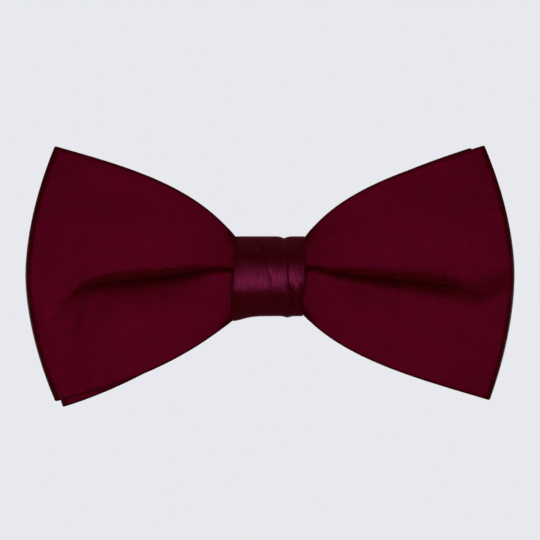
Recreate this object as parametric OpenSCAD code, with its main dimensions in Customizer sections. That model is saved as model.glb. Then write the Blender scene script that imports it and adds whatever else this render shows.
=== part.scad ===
// Clip-on bow tie: two satin bows, one behind the other, gathered by a thread and wrapped
// by a pleated knot band, with a steel bar and two spring clips on the back.
// X runs across the tie, Y from its front to its back, Z up.
// The origin is the middle of the knot band's flat back face.

/* [Bow] */
// Half of the front bow's width
half_w = 60; // [57:0.5:62]
// Height of the upper corners
corner_top = 31.6; // [30:0.2:33]
// Depth of the lower corners
corner_bottom = 30.8; // [30:0.2:32]
// Radius of the rounded outer edge of a wing
edge_r = 70; // [62:1:90]
// Thickness of one ply: satin, interlining, satin
ply_t = 0.85; // [0.75:0.05:0.95]
// How much shorter the rear bow is on each side
rear_short = 2.5; // [1.5:0.5:4]
// How far the rear bow is turned, counter-clockwise from the front
rear_turn = 1.3; // [0:0.1:1.5]

/* [Knot] */
// Width of the knot band
knot_w = 17.6; // [17:0.2:18]
// Height of the knot
knot_h = 19.4; // [19:0.2:20]
// Thickness of the knot band's satin, two layers with the turned edges
satin_t = 0.5; // [0.45:0.05:0.55]
// Thickness of the knot's interlining
knot_lining_t = 0.4; // [0.3:0.05:0.5]
// Radius of the knot's front corners
knot_front_r = 4.5; // [4:0.1:5]

/* [Clips] */
// Width of the bar and jaws
clip_w = 8; // [7.6:0.2:8.4]
// Thickness of the jaws' sheet steel
sheet_t = 0.7; // [0.6:0.05:0.75]
// Distance of each hinge pin from the middle
hinge_x = 18; // [18:0.1:18.5]
// Radius of a hinge pin
pin_r = 0.8; // [0.7:0.05:0.85]
// Radius of a clip rivet
rivet_r = 1.0; // [0.8:0.05:1.1]

/* [Hidden] */
$fn = 48;

// Colours
satin_colour = [0.30, 0.02, 0.10];
knot_colour = [0.37, 0.04, 0.15];
lining_colour = [0.86, 0.84, 0.78];
thread_colour = [0.22, 0.02, 0.07];
steel_colour = [0.74, 0.74, 0.76];

// Depths through the knot, from its back face to its front
thread_t = 0.3;
bar_t = 0.8;
waist_t = 5.1;
band_t = satin_t + knot_lining_t;
bar_back = -band_t;
bar_front = bar_back - bar_t;
waist_back = bar_front - thread_t;
waist_middle = waist_back - waist_t;
waist_front = waist_middle - waist_t;
knot_front = waist_front - thread_t - band_t;

// Heights and sides of the knot
knot_z = -0.3;
knot_top = knot_z + knot_h / 2;
knot_bottom = knot_z - knot_h / 2;
knot_back_r = 2.5;
waist_top = knot_top - band_t - thread_t;
waist_bottom = knot_bottom + band_t + thread_t;
waist_front_r = knot_front_r - band_t - thread_t;
waist_back_r = 1;
root_gap = 0.15;
root_half_w = knot_w / 2 + root_gap;
waist_reach = 0.6;

// Layers of a bow's ply
lining_t = 0.35;
pressed_lining_t = 0.2;
hem = 1.2;
waist_lining_inset = 2.4;
lining_root = 9.2;
lining_end = 9.8;
slit_w = 0.2;
tack_depth = 0.3;
tack_half_l = 0.7;
tack_r = 0.12;
tack_heights = [-4, 0, 4];

// Wing edges
root_top = 9.3;
root_bottom = 9.7;
root_angle = 48;
root_angle_low = 43;
corner_angle = 16;
edge_handle = 16;
past_edge = 12;
fan_angle = 32;

// Wing loops seen from above
root_step = 0.05;
wing_clear = 0.2;
fold_r = 1.4;
fold_tilt = 12;
rear_gap = 0.5;
rear_back_gap = 0.6;
rear_drop = 0.3;
rear_top_drop = 1.2;
rear_root_inset = 2;
loop_start = 6;
loop_out = 12;

// Threads
thread_turns = 4;
thread_pitch = 0.45;
stitch_count = 6;
stitch_pitch = 2.6;
stitch_l = 1.8;
groove_z = -5.5;
groove_w = 2.4;
groove_d = 0.3;
knot_lining_inset = 0.6;
fold_w = 0.3;
fold_d = 0.25;

// Clips
bar_half_w = 15.5;
bar_corner_r = 2;
rivet_x = 12;
rivet_head_r = 1.6;
rivet_head_t = 0.35;
plate_back = bar_back + sheet_t;
plate_start = 9.5;
plate_end = 32;
pin_y = 2.3;
ear_half_l = 2;
fixed_ear_in = clip_w / 2 - sheet_t;
side_clear = 0.1;
jaw_ear_out = fixed_ear_in - side_clear;
jaw_ear_in = jaw_ear_out - sheet_t;
jaw_ear_r = 1.6;
jaw_back_y = 4.8;
running_clear = 0.05;
tooth_pitch = 1.6;
tooth_h = 0.8;
lip_h = 1.1;
jaw_gap = 0.1;
pin_head_r = 1.15;
pin_head_t = 0.3;
wire_r = 0.25;
coil_r = 1.3;
coil_half_l = 1.2;
coil_turns = 4;
coil_steps = 16;
wire_sides = 8;

// ---- helper functions

function polar(r, a) = r * [cos(a), sin(a)];

function bezier(p0, p1, p2, p3, n) = [
    for (i = [0:n])
        let (t = i / n, u = 1 - t)
        u * u * u * p0 + 3 * u * u * t * p1 + 3 * u * t * t * p2 + t * t * t * p3
];

function arc(centre, r, a0, a1, n) = [
    for (i = [0:n]) centre + polar(r, a0 + (a1 - a0) * i / n)
];

function reversed(list) = [for (i = [len(list) - 1:-1:0]) list[i]];

function unit(v) = v / norm(v);

// Mitred side vector of an open path at point i
function side_vector(path, i) =
    let (
        before = unit(path[max(i, 1)] - path[max(i, 1) - 1]),
        after = unit(path[min(i, len(path) - 2) + 1] - path[min(i, len(path) - 2)]),
        along = unit(before + after),
        mitre = 1 / max(0.5, before * along)
    )
    mitre * [-along[1], along[0]];

// Closed outline of a strip of thickness t that follows an open path
function strip(path, t) = concat(
    [for (i = [0:len(path) - 1]) path[i] + side_vector(path, i) * t / 2],
    [for (i = [len(path) - 1:-1:0]) path[i] - side_vector(path, i) * t / 2]
);

// Open path with each corner replaced by a short curve that starts d from it
function rounded(path, d) = concat(
    [path[0]],
    [
        for (i = [1:len(path) - 2])
            let (
                p = path[i],
                before = p + d * unit(path[i - 1] - p),
                after = p + d * unit(path[i + 1] - p)
            )
            each [for (t = [0:0.25:1]) (1 - t) * (1 - t) * before + 2 * t * (1 - t) * p + t * t * after]
    ],
    [path[len(path) - 1]]
);

// ---- helper modules

module along_x(x0, x1) {
    translate([x0, 0, 0]) rotate([90, 0, 90]) linear_extrude(x1 - x0) children();
}

module along_y(y0, y1) {
    translate([0, y1, 0]) rotate([90, 0, 0]) linear_extrude(y1 - y0) children();
}

module along_z(z0, z1) {
    translate([0, 0, z0]) linear_extrude(z1 - z0) children();
}

module box(low, high) {
    translate(low) cube(high - low);
}

// Rounded rectangle in the YZ plane, with its own radius at the front and at the back
module side_profile(y0, y1, z0, z1, front_r, back_r) {
    translate([y0 + front_r, z0]) square([y1 - back_r - y0 - front_r, z1 - z0]);
    translate([y0, z0 + front_r]) square([front_r, z1 - z0 - 2 * front_r]);
    translate([y1 - back_r, z0 + back_r]) square([back_r, z1 - z0 - 2 * back_r]);
    intersection() {
        translate([y0, z0]) square([front_r, z1 - z0]);
        for (z = [z0 + front_r, z1 - front_r]) translate([y0 + front_r, z]) circle(front_r);
    }
    intersection() {
        translate([y1 - back_r, z0]) square([back_r, z1 - z0]);
        for (z = [z0 + back_r, z1 - back_r]) translate([y1 - back_r, z]) circle(back_r);
    }
}

// ---- bows

// Front view of the right wing: upper and lower edges, open past the rounded outer edge
function wing_outline(tip, top, bottom, root_x, root_up, root_down) =
    let (
        centre_x = tip - edge_r,
        corner_high = [centre_x + sqrt(edge_r * edge_r - top * top), top],
        corner_low = [centre_x + sqrt(edge_r * edge_r - bottom * bottom), -bottom],
        root_high = [root_x, root_up],
        root_low = [root_x, -root_down],
        high_leave = root_high + polar(edge_handle, root_angle),
        high_arrive = corner_high - polar(edge_handle, corner_angle),
        low_leave = root_low + polar(edge_handle, -root_angle_low),
        low_arrive = corner_low - polar(edge_handle, -corner_angle)
    )
    concat(
        bezier(root_high, high_leave, high_arrive, corner_high, 12),
        [corner_high + polar(past_edge, corner_angle), corner_low + polar(past_edge, -corner_angle)],
        reversed(bezier(root_low, low_leave, low_arrive, corner_low, 12))
    );

// Radial section of the front bow's loop: front ply, fold at the tip, back ply.
// The first value is the distance from the middle along the middle height.
function front_loop() =
    let (
        front_y = waist_front + ply_t / 2 + root_step,
        root_back_y = waist_middle - ply_t / 2 - root_step,
        back_y = root_back_y - wing_clear,
        fold = [half_w - ply_t / 2 - fold_r, back_y - fold_r],
        fold_start = fold + polar(fold_r, fold_tilt - 90)
    )
    concat(
        [[loop_start, front_y]],
        bezier([loop_out, front_y], [loop_out + 11, front_y - 2.4],
            fold_start - polar(17, fold_tilt), fold_start, 8),
        arc(fold, fold_r, fold_tilt - 66, 90, 6),
        [[loop_out + 4, back_y], [loop_out, root_back_y], [loop_start, root_back_y]]
    );

// Radial section of the rear bow's loop
function rear_loop() =
    let (
        front_y = waist_middle + ply_t / 2 + root_step,
        wing_front = front_y + rear_gap,
        back_y = waist_back - ply_t / 2 - root_step,
        wing_back = back_y - rear_back_gap,
        r = (wing_back - wing_front) / 2,
        fold = [half_w - rear_short - ply_t / 2 - r, wing_front + r]
    )
    concat(
        [[loop_start, front_y], [loop_out, front_y], [loop_out + 4, wing_front]],
        arc(fold, r, -90, 90, 6),
        [[loop_out + 4, wing_back], [loop_out, back_y], [loop_start, back_y]]
    );

// One wing: a strip of thickness t along the loop, swung about the centre of the rounded
// outer edge, so that the plies fan out from the knot, and trimmed to the outline
module wing(loop, tip, outline, t) {
    centre_x = tip - edge_r;
    intersection() {
        translate([centre_x, 0, 0]) rotate([-90, 0, 0]) rotate([0, 0, -fan_angle])
            rotate_extrude(angle = 2 * fan_angle)
                polygon([for (p = strip(loop, t)) p - [centre_x, 0]]);
        along_y(knot_front - 3, 1) polygon(outline);
    }
}

// Both wings, placed against the two sides of the knot
module both_wings() {
    for (side = [0, 1]) mirror([side, 0, 0]) children();
}

module bow_waist(y0, y1, front_r, back_r) {
    along_x(-root_half_w - waist_reach, root_half_w + waist_reach)
        side_profile(y0, y1, waist_bottom, waist_top, front_r, back_r);
}

// The interlining's two layers through the waist, narrowed to suit its rounded corners
module waist_lining(y0, y1) {
    low = waist_bottom + waist_lining_inset;
    high = waist_top - waist_lining_inset;
    front_y = y0 + ply_t / 2;
    back_y = y1 - ply_t / 2;
    half_t = pressed_lining_t / 2;
    box([-lining_end, front_y - half_t, low], [lining_end, front_y + half_t, high]);
    both_wings() box([slit_w / 2, back_y - half_t, low], [lining_end, back_y + half_t, high]);
}

module slit_and_recesses(y1) {
    box([-slit_w / 2, y1 - ply_t / 2, waist_bottom + waist_lining_inset],
        [slit_w / 2, y1 + 1, waist_top - waist_lining_inset]);
    for (z = tack_heights)
        box([-tack_half_l - 0.1, y1 - tack_depth, z - 0.25], [tack_half_l + 0.1, y1 + 1, z + 0.25]);
}

// Threads that hold the bow's butted ends together at the back of its waist
module tack(y1) {
    color(thread_colour)
        for (z = tack_heights)
            translate([-tack_half_l, y1 - tack_depth + tack_r, z])
                rotate([0, 90, 0]) cylinder(r = tack_r, h = 2 * tack_half_l);
}

module front_wings(t, inset, root_x) {
    outline = wing_outline(half_w, corner_top - inset, corner_bottom - inset,
        root_x, root_top - inset, root_bottom - inset);
    both_wings() wing(front_loop(), half_w, outline, t);
}

module rear_wings(t, inset, root_x) {
    tip = half_w - rear_short;
    outline = wing_outline(tip, corner_top - rear_top_drop - inset, corner_bottom + rear_drop - inset,
        root_x, root_top - rear_root_inset - inset, root_bottom - rear_root_inset - inset);
    rotate([0, -rear_turn, 0]) both_wings() wing(rear_loop(), tip, outline, t);
}

module front_bow_lining_shape() {
    front_wings(lining_t, hem, lining_root);
    waist_lining(waist_front, waist_middle);
}

module rear_bow_lining_shape() {
    rear_wings(lining_t, hem, lining_root);
    waist_lining(waist_middle, waist_back);
}

module front_bow() {
    color(satin_colour)
        difference() {
            union() {
                front_wings(ply_t, 0, root_half_w);
                bow_waist(waist_front, waist_middle, waist_front_r, waist_back_r);
            }
            front_bow_lining_shape();
            slit_and_recesses(waist_middle);
        }
}

module front_bow_interlining() {
    color(lining_colour) front_bow_lining_shape();
}

module front_bow_tack() {
    tack(waist_middle);
}

module rear_bow() {
    color(satin_colour)
        difference() {
            union() {
                rear_wings(ply_t, 0, root_half_w);
                bow_waist(waist_middle, waist_back, waist_back_r, waist_back_r);
            }
            rear_bow_lining_shape();
            slit_and_recesses(waist_back);
        }
}

module rear_bow_interlining() {
    color(lining_colour) rear_bow_lining_shape();
}

module rear_bow_tack() {
    tack(waist_back);
}

// Thread wound round both waists
module waist_thread() {
    half_l = (thread_turns - 1) * thread_pitch / 2;
    color(thread_colour) {
        for (i = [0:thread_turns - 1])
            let (x = (i - (thread_turns - 1) / 2) * thread_pitch)
                along_x(x - thread_t / 2, x + thread_t / 2)
                    difference() {
                        side_profile(waist_front - thread_t, waist_back + thread_t, waist_bottom - thread_t,
                            waist_top + thread_t, waist_front_r + thread_t, waist_back_r + thread_t);
                        waist_profile();
                    }
        box([-half_l, waist_back, -1], [half_l, waist_back + thread_t, -1 + thread_t]);
    }
}

// Both waists together
module waist_profile() {
    side_profile(waist_front, waist_back, waist_bottom, waist_top, waist_front_r, waist_back_r);
}

// ---- knot

module knot_profile(inset) {
    side_profile(knot_front + inset, -inset, knot_bottom + inset, knot_top - inset,
        knot_front_r - inset, knot_back_r - inset);
}

// A fold of the knot's satin: a shallow step down its front
module fold_groove(x, lean) {
    translate([x, knot_front, knot_z]) rotate([0, lean, 0])
        translate([-fold_w / 2, -1, -knot_h]) cube([fold_w, 1 + fold_d, 2 * knot_h]);
}

module knot_band() {
    color(knot_colour)
        difference() {
            along_x(-knot_w / 2, knot_w / 2)
                difference() {
                    knot_profile(0);
                    knot_profile(satin_t);
                }
            box([-knot_w, -groove_d, groove_z - groove_w / 2], [knot_w, 1, groove_z + groove_w / 2]);
            box([-knot_w, -2 * satin_t, groove_z - slit_w / 2], [knot_w, 1, groove_z + slit_w / 2]);
            fold_groove(-2.2, -20);
            fold_groove(5.2, -10);
        }
}

module knot_interlining() {
    color(lining_colour)
        along_x(-knot_w / 2 + knot_lining_inset, knot_w / 2 - knot_lining_inset)
            difference() {
                knot_profile(satin_t);
                knot_profile(band_t);
                translate([-2 * band_t, groove_z - slit_w / 2]) square([2 * band_t, slit_w]);
            }
}

// Hand stitches that close the knot band at the back
module knot_stitches() {
    color(thread_colour)
        for (i = [0:stitch_count - 1])
            let (x = (i - (stitch_count - 1) / 2) * stitch_pitch)
                translate([x, tack_r - groove_d, groove_z - stitch_l / 2]) cylinder(r = tack_r, h = stitch_l);
}

// ---- clip hardware

module clip_bar() {
    color(steel_colour)
        along_y(bar_front, bar_back)
            difference() {
                union() {
                    square([2 * (bar_half_w - bar_corner_r), clip_w], center = true);
                    square([2 * bar_half_w, clip_w - 2 * bar_corner_r], center = true);
                    for (x = [-1, 1], z = [-1, 1])
                        translate([x * (bar_half_w - bar_corner_r), z * (clip_w / 2 - bar_corner_r)])
                            circle(bar_corner_r);
                }
                for (x = [-rivet_x, rivet_x]) translate([x, 0]) circle(rivet_r);
            }
}

// Cylinder along Y between two depths
module round_y(x, z, r, y0, y1) {
    translate([x, y1, z]) rotate([90, 0, 0]) cylinder(r = r, h = y1 - y0);
}

module clip_rivet() {
    color(steel_colour) {
        round_y(rivet_x, 0, rivet_r, bar_front - rivet_head_t, plate_back + rivet_head_t);
        round_y(rivet_x, 0, rivet_head_r, bar_front - rivet_head_t, bar_front);
        round_y(rivet_x, 0, rivet_head_r, plate_back, plate_back + rivet_head_t);
    }
}

// Notches that leave teeth along an edge across the jaw
module tooth_notches(x0, x1, y, up) {
    for (i = [-2:2])
        translate([0, y, i * tooth_pitch]) along_x(x0, x1)
            polygon([[0, -tooth_pitch / 2], [0, tooth_pitch / 2], [up * tooth_h, 0]]);
}

// Front jaw: a sheet riveted to the bar, with two ears for the pin and a toothed lip
module fixed_jaw() {
    color(steel_colour)
        difference() {
            union() {
                box([plate_start, bar_back, -clip_w / 2], [plate_end, plate_back, clip_w / 2]);
                box([plate_end - sheet_t, bar_back, -clip_w / 2],
                    [plate_end, plate_back + lip_h, clip_w / 2]);
                for (z = [-clip_w / 2, fixed_ear_in]) along_z(z, z + sheet_t) {
                    translate([hinge_x - ear_half_l, bar_back]) square([2 * ear_half_l, pin_y - bar_back]);
                    translate([hinge_x, pin_y]) circle(ear_half_l);
                }
            }
            round_y(rivet_x, 0, rivet_r, bar_back - 1, plate_back + 1);
            translate([hinge_x, pin_y, -clip_w]) cylinder(r = pin_r, h = 2 * clip_w);
            tooth_notches(plate_end - 1, plate_end + 1, plate_back + lip_h, -1);
        }
}

// Side view of the back jaw: thumb tab, back, bend and toothed front
function jaw_path() = rounded([
    [9.8, 6.3],
    [14.6, 4.8],
    [26, 4.8],
    [30.65, 0.9],
    [30.65, plate_back + jaw_gap]
], 0.9);

// Back jaw: the sheet that swings on the pin
module moving_jaw() {
    color(steel_colour)
        difference() {
            union() {
                difference() {
                    along_z(-clip_w / 2, clip_w / 2) polygon(strip(jaw_path(), sheet_t));
                    for (z = [-clip_w, jaw_ear_out])
                        box([hinge_x - ear_half_l - 0.5, 0, z],
                            [hinge_x + ear_half_l + 0.5, clip_w, z + clip_w - jaw_ear_out]);
                }
                for (z = [-jaw_ear_out, jaw_ear_in]) along_z(z, z + sheet_t) {
                    translate([hinge_x - jaw_ear_r, pin_y]) square([2 * jaw_ear_r, jaw_back_y - pin_y]);
                    translate([hinge_x, pin_y]) circle(jaw_ear_r);
                }
            }
            translate([hinge_x, pin_y, -clip_w]) cylinder(r = pin_r + running_clear, h = 2 * clip_w);
        }
}

module hinge_pin() {
    half_l = clip_w / 2;
    color(steel_colour)
        translate([hinge_x, pin_y, 0]) {
            cylinder(r = pin_r, h = 2 * (half_l + pin_head_t), center = true);
            for (z = [-half_l - pin_head_t, half_l])
                translate([0, 0, z]) cylinder(r = pin_head_r, h = pin_head_t);
        }
}

// Middle line of the torsion spring: fixed leg, coil round the pin, moving leg
function spring_path() =
    let (n = coil_turns * coil_steps, turned = 360 * coil_turns + 180)
    concat(
        [[hinge_x - 4.5, plate_back + wire_r + 0.05, -coil_half_l]],
        [
            for (i = [0:n])
                let (p = polar(coil_r, -90 - turned * i / n))
                [hinge_x + p[0], pin_y + p[1], -coil_half_l + 2 * coil_half_l * i / n]
        ],
        [[hinge_x - 4.5, 4.5, coil_half_l]]
    );

// Ring of a wire's section at point i of its path
function wire_ring(path, i) =
    let (
        along = path[min(i + 1, len(path) - 1)] - path[max(i - 1, 0)],
        side = unit(cross(along, [0, 0, 1])),
        up = unit(cross(side, along))
    )
    [for (k = [0:wire_sides - 1]) path[i] + wire_r * (cos(360 * k / wire_sides) * side
        + sin(360 * k / wire_sides) * up)];

module jaw_spring() {
    path = spring_path();
    points = [for (i = [0:len(path) - 1]) each wire_ring(path, i)];
    last = (len(path) - 1) * wire_sides;
    color(steel_colour)
        polyhedron(points, concat(
            [[for (k = [0:wire_sides - 1]) k]],
            [
                for (i = [0:len(path) - 2], k = [0:wire_sides - 1])
                    let (a = i * wire_sides, b = a + wire_sides, next = (k + 1) % wire_sides)
                    [a + k, b + k, b + next, a + next]
            ],
            [[for (k = [wire_sides - 1:-1:0]) last + k]]
        ));
}

module left() {
    mirror([1, 0, 0]) children();
}

front_bow();
front_bow_interlining();
front_bow_tack();
rear_bow();
rear_bow_interlining();
rear_bow_tack();
waist_thread();
knot_band();
knot_interlining();
knot_stitches();
clip_bar();
left() clip_rivet();  // left_clip_rivet
left() fixed_jaw();  // left_fixed_jaw
left() moving_jaw();  // left_moving_jaw
left() hinge_pin();  // left_hinge_pin
left() jaw_spring();  // left_jaw_spring
clip_rivet();  // right_clip_rivet
fixed_jaw();  // right_fixed_jaw
moving_jaw();  // right_moving_jaw
hinge_pin();  // right_hinge_pin
jaw_spring();  // right_jaw_spring
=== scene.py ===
"""Looks of a clip-on satin bow tie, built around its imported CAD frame.

Lengths inside the making functions are millimetres, and build_mesh turns them into metres.
X runs across the tie, Y from its front to its back, Z up.
"""

import math

import bpy
import numpy as np
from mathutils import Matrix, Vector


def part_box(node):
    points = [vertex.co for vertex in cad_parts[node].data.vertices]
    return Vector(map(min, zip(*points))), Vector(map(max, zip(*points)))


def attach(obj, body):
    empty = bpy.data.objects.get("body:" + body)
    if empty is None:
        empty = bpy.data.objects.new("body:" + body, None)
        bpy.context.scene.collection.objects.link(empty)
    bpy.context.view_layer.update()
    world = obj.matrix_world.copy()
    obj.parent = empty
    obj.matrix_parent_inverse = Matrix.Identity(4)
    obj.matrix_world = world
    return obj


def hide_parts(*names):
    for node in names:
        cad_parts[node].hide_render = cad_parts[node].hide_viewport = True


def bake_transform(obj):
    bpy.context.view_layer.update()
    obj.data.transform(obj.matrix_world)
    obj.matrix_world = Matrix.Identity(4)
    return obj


MM = 0.001

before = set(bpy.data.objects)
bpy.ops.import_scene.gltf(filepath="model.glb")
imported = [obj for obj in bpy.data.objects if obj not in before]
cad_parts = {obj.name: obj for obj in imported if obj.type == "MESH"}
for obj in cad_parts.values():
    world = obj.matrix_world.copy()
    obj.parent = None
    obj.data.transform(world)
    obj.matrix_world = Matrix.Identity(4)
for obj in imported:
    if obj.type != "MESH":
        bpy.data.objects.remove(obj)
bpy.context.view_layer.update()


def node_box(node):
    """Lowest and highest corner of a CAD node, in millimetres."""
    low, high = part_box(node)
    return np.array(low) / MM, np.array(high) / MM


# ---- sizes, in millimetres

FRONT_HIGH = node_box("front_bow")[1]
KNOT_LOW, KNOT_HIGH = node_box("knot_band")
THREAD_LOW, THREAD_HIGH = node_box("waist_thread")
BAR_TOP = node_box("clip_bar")[1][2]

# One ply of a bow: a flat satin tube, and the interlining in its cavity
PLY = 0.85
PLY_CAVITY = 0.39
PLY_LINING = 0.35
PLY_HEM_COLUMNS = 3

# Thickness of the waist thread, and the bows' depths and heights inside it
THREAD = 0.3
WAIST_FRONT = THREAD_LOW[1] + THREAD
WAIST_BACK = THREAD_HIGH[1] - THREAD
WAIST_MIDDLE = (WAIST_FRONT + WAIST_BACK) / 2
WAIST_LOW = THREAD_LOW[2] + THREAD
WAIST_HIGH = THREAD_HIGH[2] - THREAD

# Half widths
TIP = FRONT_HIGH[0]
REAR_TIP = TIP - 2.6
KNOT_HALF_W = KNOT_HIGH[0]


# ---- curves

def smoothstep(x, low, high):
    """0 at low and 1 at high, with a smooth rise between them."""
    t = np.clip((np.asarray(x, float) - low) / (high - low), 0, 1)
    return t * t * (3 - 2 * t)


def bezier(p0, p1, p2, p3, t):
    """Points of a cubic Bezier at the values t, for numbers or for points."""
    t = np.asarray(t, float)
    if np.ndim(p0):
        t = t[..., None]
    p0, p1, p2, p3 = (np.asarray(p, float) for p in (p0, p1, p2, p3))
    u = 1 - t
    return u ** 3 * p0 + 3 * u * u * t * p1 + 3 * u * t * t * p2 + t ** 3 * p3


def through(knots, x):
    """A smooth curve through (x, value) knots, without overshoot, and flat past its ends."""
    kx = np.array([k[0] for k in knots], float)
    kv = np.array([k[1] for k in knots], float)
    rise = np.diff(kv) / np.diff(kx)
    product = rise[:-1] * rise[1:]
    slope = np.zeros_like(kv)
    slope[1:-1] = np.where(product > 0, 2 * product / np.where(product > 0, rise[:-1] + rise[1:], 1), 0)
    x = np.clip(np.asarray(x, float), kx[0], kx[-1])
    i = np.clip(np.searchsorted(kx, x, side="right") - 1, 0, len(kx) - 2)
    h = kx[i + 1] - kx[i]
    t = (x - kx[i]) / h
    a = 2 * t ** 3 - 3 * t ** 2 + 1
    b = t ** 3 - 2 * t ** 2 + t
    return a * kv[i] + b * h * slope[i] + (1 - a) * kv[i + 1] + (t ** 3 - t ** 2) * h * slope[i + 1]


def unit(v):
    """Vectors of length 1."""
    return v / np.maximum(np.linalg.norm(v, axis=-1, keepdims=True), 1e-12)


# ---- meshes

def build_mesh(name, points, faces, uvs=None):
    """A smooth-shaded mesh object from points in millimetres. uvs holds one pair per face corner."""
    mesh = bpy.data.meshes.new(name)
    mesh.from_pydata((np.asarray(points) * MM).tolist(), [], [list(map(int, f)) for f in faces])
    if uvs is not None:
        layer = mesh.uv_layers.new(name="weave")
        layer.data.foreach_set("uv", np.asarray(uvs, np.float32).ravel())
    mesh.polygons.foreach_set("use_smooth", [True] * len(mesh.polygons))
    mesh.update()
    obj = bpy.data.objects.new(name, mesh)
    bpy.context.scene.collection.objects.link(obj)
    return obj


def ring_points(mid, thickness, edge_steps=4):
    """Rings round a strip of cloth: mid[u, v] is its middle surface, closed along u.

    Each ring goes up one face, over the rounded edge, down the other face and back."""
    along = np.roll(mid, -1, 0) - np.roll(mid, 1, 0)
    across = np.gradient(mid, axis=1)
    normal = unit(np.cross(along, across))
    half = thickness / 2
    turns = np.linspace(0, math.pi, edge_steps + 2)[1:-1]

    def edge(column, sign):
        out = unit(across[:, column]) * sign
        up = normal[:, column] * sign
        return [mid[:, column] + half * (math.cos(a) * up + math.sin(a) * out) for a in turns]

    face = [mid[:, j] + half * normal[:, j] for j in range(mid.shape[1])]
    back = [mid[:, j] - half * normal[:, j] for j in range(mid.shape[1] - 1, -1, -1)]
    return np.stack(face + edge(-1, 1) + back + edge(0, -1), axis=1)


def torus_faces(rings, flip=False):
    """Faces and cloth coordinates, in metres, of closed rings joined in a closed loop."""
    count, size = rings.shape[:2]
    i, j = np.meshgrid(np.arange(count), np.arange(size), indexing="ij")
    a = i * size + j
    b = (i + 1) % count * size + j
    c = (i + 1) % count * size + (j + 1) % size
    d = i * size + (j + 1) % size
    faces = np.stack([a, b, c, d], -1).reshape(-1, 4)
    length = np.linalg.norm(np.roll(rings, -1, 0) - rings, axis=2).mean(1)
    width = np.linalg.norm(np.roll(rings, -1, 1) - rings, axis=2).mean(0)
    s = np.concatenate([[0], np.cumsum(length)]) * MM
    t = np.concatenate([[0], np.cumsum(width)]) * MM
    uvs = np.stack([
        np.stack([s[i], t[j]], -1), np.stack([s[i + 1], t[j]], -1),
        np.stack([s[i + 1], t[j + 1]], -1), np.stack([s[i], t[j + 1]], -1),
    ], 2).reshape(-1, 4, 2)
    if flip:
        faces, uvs = faces[:, ::-1], uvs[:, ::-1]
    return faces, uvs


def cloth_tube(name, mid, thickness, hem_columns=0, cavity=0.0):
    """A flat tube of cloth round the strip mid, hollow inside where cavity is given."""
    rings = ring_points(mid, thickness)
    faces, uvs = torus_faces(rings)
    points = rings.reshape(-1, 3)
    if cavity:
        inner = ring_points(mid[:, hem_columns:-hem_columns], cavity)
        inner_faces, inner_uvs = torus_faces(inner, flip=True)
        faces = np.concatenate([faces, inner_faces + len(points)])
        uvs = np.concatenate([uvs, inner_uvs])
        points = np.concatenate([points, inner.reshape(-1, 3)])
    return build_mesh(name, points, faces, uvs)


# ---- the bows
#
# A wing is measured outwards from the middle, so the left wing is the right one's formula with its own
# numbers and the sign of X turned. w runs from 0 at the knot to 1 at the outer edge, and s from -1 at
# the lower edge to 1 at the upper edge. A wing's values are:
#   tip          half width at the middle of the outer edge
#   high, low    (x, z) of the outer corners
#   *_angles     slope of that edge in degrees, at the knot and at the corner
#   *_reach      how strongly the edge keeps each slope, as the length of its curve's handle
#   root_*       (x, z) where the edge leaves the knot
#   crease       (w, s) along the pressed crease
#   depth        (w, depth) of the crease
#   above, below (w, distance) that its hollow reaches to either side
#   sharp        (w, power) of the hollow's fall-off
#   broad, tail  depth of the wide hollow below the crease, and of the step in which it dies out

FRONT_RIGHT = {
    "tip": TIP + 0.3,
    "high": (53.0, 31.9), "high_angles": (54, 18), "high_reach": (15, 17),
    "low": (54.3, -30.8), "low_angles": (-48, -17), "low_reach": (15, 17),
    "root_high": (9.0, 9.7), "root_low": (8.3, -9.8),
    "crease": [(0, 0.16), (0.2, 0.01), (0.45, -0.085), (0.7, -0.12), (0.84, -0.16), (1, -0.07)],
    "depth": [(0, 1.8), (0.1, 1.5), (0.35, 1.5), (0.6, 1.3), (0.75, 0.9), (0.88, 0.8), (1, 0.6)],
    "above": [(0, 0.3), (0.12, 0.35), (0.35, 0.95), (0.55, 1.7), (0.75, 3.4), (1, 3)],
    "below": [(0, 0.3), (0.2, 0.45), (0.5, 0.6), (0.7, 1.4), (0.85, 2.4), (1, 2)],
    "sharp": [(0, 1.15), (0.7, 1.15), (1, 1.3)],
    "broad": 0.45, "tail": 0.0,
}

FRONT_LEFT = {
    "tip": TIP + 0.3,
    "high": (53.2, 31.7), "high_angles": (51, 16), "high_reach": (16, 18),
    "low": (53.1, -31.1), "low_angles": (-39, -14), "low_reach": (17, 17),
    "root_high": (8.9, 9.8), "root_low": (9.5, -11.4),
    "crease": [(0, 0.2), (0.12, 0.13), (0.22, 0.06), (0.4, -0.035), (0.66, -0.085), (0.74, -0.13),
               (0.83, -0.27), (0.92, -0.36), (1, -0.38)],
    "depth": [(0, 1.8), (0.1, 1.5), (0.35, 1.6), (0.6, 0.95), (0.7, 0.5), (0.83, 0.6), (0.95, 0), (1, 0)],
    "above": [(0, 0.3), (0.2, 0.4), (0.4, 0.9), (0.6, 1.5), (0.72, 2.2), (0.83, 4.5), (1, 4.5)],
    "below": [(0, 0.3), (0.2, 0.6), (0.4, 0.7), (0.6, 0.8), (0.72, 1.5), (0.83, 4.5), (1, 4.5)],
    "sharp": [(0, 1.15), (0.7, 1.15), (0.83, 1.4), (1, 1.5)],
    "broad": 1.0, "tail": 0.4,
}

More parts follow.
